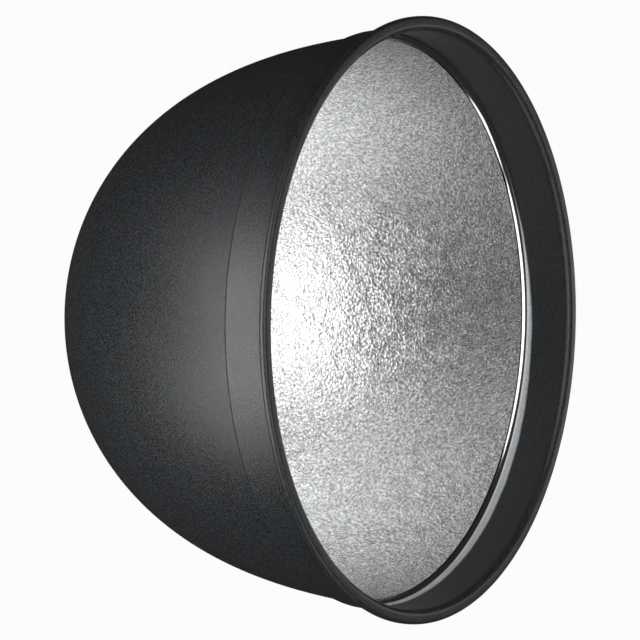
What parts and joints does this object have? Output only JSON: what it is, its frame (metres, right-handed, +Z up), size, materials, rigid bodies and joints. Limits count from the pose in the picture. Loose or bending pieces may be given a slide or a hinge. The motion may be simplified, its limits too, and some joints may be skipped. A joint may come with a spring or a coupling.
{
  "type": "studio flash bowl reflector",
  "caption": "Deep bowl reflector for a studio flash head: black outside, hammered silver inside, rolled rim, and a slotted neck with a lever clamp.",
  "frame": {"origin": "centre of the neck's clamping bore", "axes": "+Y along the bore, the way the lamp tube leaves; the bowl opens towards -Y; +Z up, with the clamp's ears at the top"},
  "size_m": [0.3399, 0.2091, 0.34],
  "materials": {
    "black_powder_coat": "satin",
    "hammered_aluminium": "hammered",
    "bare_aluminium": "turned",
    "steel": "zinc plated",
    "brass": "satin",
    "rubber": "matte",
    "black_plastic": "matte"
  },
  "bodies": {
    "reflector": {"outer_shell": "black_powder_coat", "reflector_insert": "hammered_aluminium", "rim_wire": "steel", "backing_ring": "black_powder_coat", "neck_sleeve": "bare_aluminium", "flange_rivets": "bare_aluminium", "grip_liner": "rubber", "clamp_band": "steel", "band_screws": "steel", "draw_bolt": "steel", "cam_saddle": "brass", "lever_pin": "steel", "pin_clips": "steel"},
    "lever": {"cam_lever": "steel", "lever_grip": "black_plastic"},
    "washer": {"nut_washer": "steel"},
    "nut": {"thumb_nut": "brass"}
  },
  "joints": [
    {"name": "lever_turn", "type": "hinge", "parent": "reflector", "child": "lever", "pos_m": [0.0132, 0.00875, 0.0615], "axis": [0, -1, 0], "range_deg": [0, 130]},
    {"name": "washer_slide", "type": "slide", "parent": "reflector", "child": "washer", "axis": [-1, 0, 0], "range_m": [0, 0.0028]},
    {"name": "nut_turn", "type": "hinge", "parent": "washer", "child": "nut", "pos_m": [-0.01, 0.00875, 0.0615], "axis": [-1, 0, 0], "range_deg": [0, 1440]}
  ],
  "couplings": [
    {"joint": "nut_turn", "follows": "washer_slide", "rad_per_m": 8975}
  ]
}
